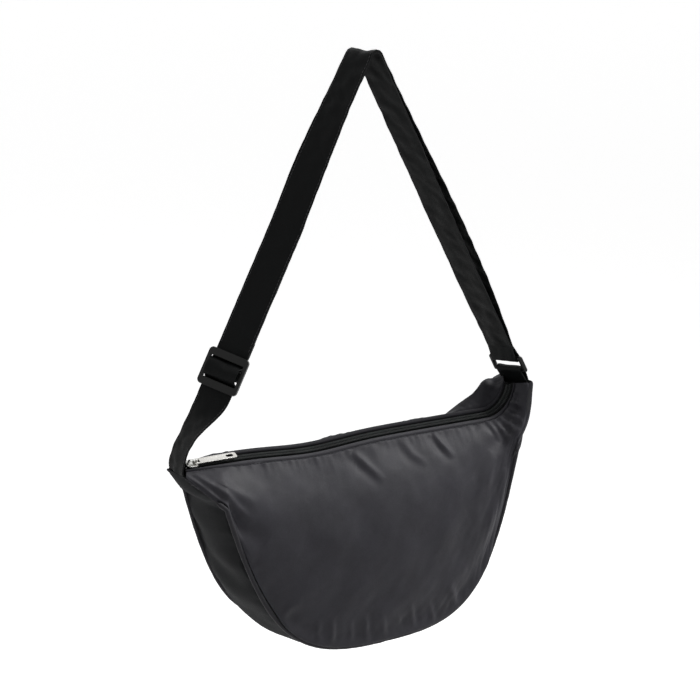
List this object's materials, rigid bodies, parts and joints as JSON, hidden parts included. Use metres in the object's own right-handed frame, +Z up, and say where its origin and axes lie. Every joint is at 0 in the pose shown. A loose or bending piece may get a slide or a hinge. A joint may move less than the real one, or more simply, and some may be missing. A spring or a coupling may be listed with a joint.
{
  "type": "crossbody bag",
  "caption": "Soft crossbody bag with a zipped mouth, piped seams, a wide curved bottom and an adjustable webbing strap on a ring, hanging by the fold of its strap.",
  "frame": {"origin": "top of the inside of the strap's fold, where the bag hangs", "axes": "+X along the mouth towards the ring, -Y out of the front panel, +Z up"},
  "size_m": [0.3793, 0.1104, 0.5355],
  "materials": {
    "shell_cloth": "matte, padded woven nylon",
    "gusset_cloth": "matte, padded woven nylon",
    "piping_cloth": "matte, cord covered in woven tape",
    "lining_cloth": "smooth thin lining",
    "zip_tape": "woven tape",
    "zip_coil": "satin nylon coil",
    "slider_metal": "bright plated die casting",
    "puller_metal": "satin plated stamping",
    "strap_webbing": "satin woven webbing",
    "tab_webbing": "satin woven webbing",
    "adjuster_plastic": "moulded, softly glossy",
    "ring_plastic": "moulded, softly glossy"
  },
  "bodies": {
    "strap": {"strap_outer_run": "strap_webbing", "strap_inner_run": "strap_webbing", "strap_outer_slide": "strap_webbing", "strap_inner_slide": "strap_webbing", "strap_lower_run": "strap_webbing"},
    "adjuster": {"adjuster": "adjuster_plastic", "strap_threaded_bend": "strap_webbing", "strap_end_loop": "strap_webbing"},
    "bag": {"front_panel": "shell_cloth", "back_panel": "shell_cloth", "gusset": "gusset_cloth", "front_piping": "piping_cloth", "back_piping": "piping_cloth", "lining_front": "lining_cloth", "lining_back": "lining_cloth", "lining_gusset": "lining_cloth", "zip_tape_front": "zip_tape", "zip_tape_back": "zip_tape", "zip_coil_front": "zip_coil", "zip_coil_back": "zip_coil", "strap_sewn_end": "strap_webbing", "ring_tab": "tab_webbing"},
    "slider": {"zip_slider": "slider_metal", "zip_crown": "slider_metal"},
    "puller": {"zip_puller": "puller_metal"},
    "ring": {"ring": "ring_plastic", "strap_ring_turn": "strap_webbing"}
  },
  "joints": [
    {"name": "bag_swing", "type": "hinge", "parent": "strap", "child": "bag", "pos_m": [-0.193, 0, -0.3445], "axis": [0.9916, 0, 0.1292], "range_deg": [-45, 45], "deforming": ["strap_sewn_end"]},
    {"name": "zip_slide", "type": "slide", "parent": "bag", "child": "slider", "axis": [0.9998, 0, -0.0175], "range_m": [0, 0.27], "deforming": ["zip_coil_front", "zip_coil_back"]},
    {"name": "puller_swing", "type": "hinge", "parent": "slider", "child": "puller", "pos_m": [-0.17852, -0.00209, -0.3417], "axis": [-0.0074, -0.9063, -0.4226], "range_deg": [0, 60]},
    {"name": "adjuster_slide", "type": "slide", "parent": "strap", "child": "adjuster", "axis": [0.4695, 0, 0.8829], "range_m": [-0.01, 0.1], "deforming": ["strap_lower_run", "strap_outer_slide", "strap_inner_slide"]},
    {"name": "ring_pivot", "type": "hinge", "parent": "bag", "child": "ring", "pos_m": [0.16876, 0, -0.3101], "axis": [0.1898, -0.9766, 0.1009], "range_deg": [-40, 40], "deforming": ["strap_ring_turn"]}
  ]
}
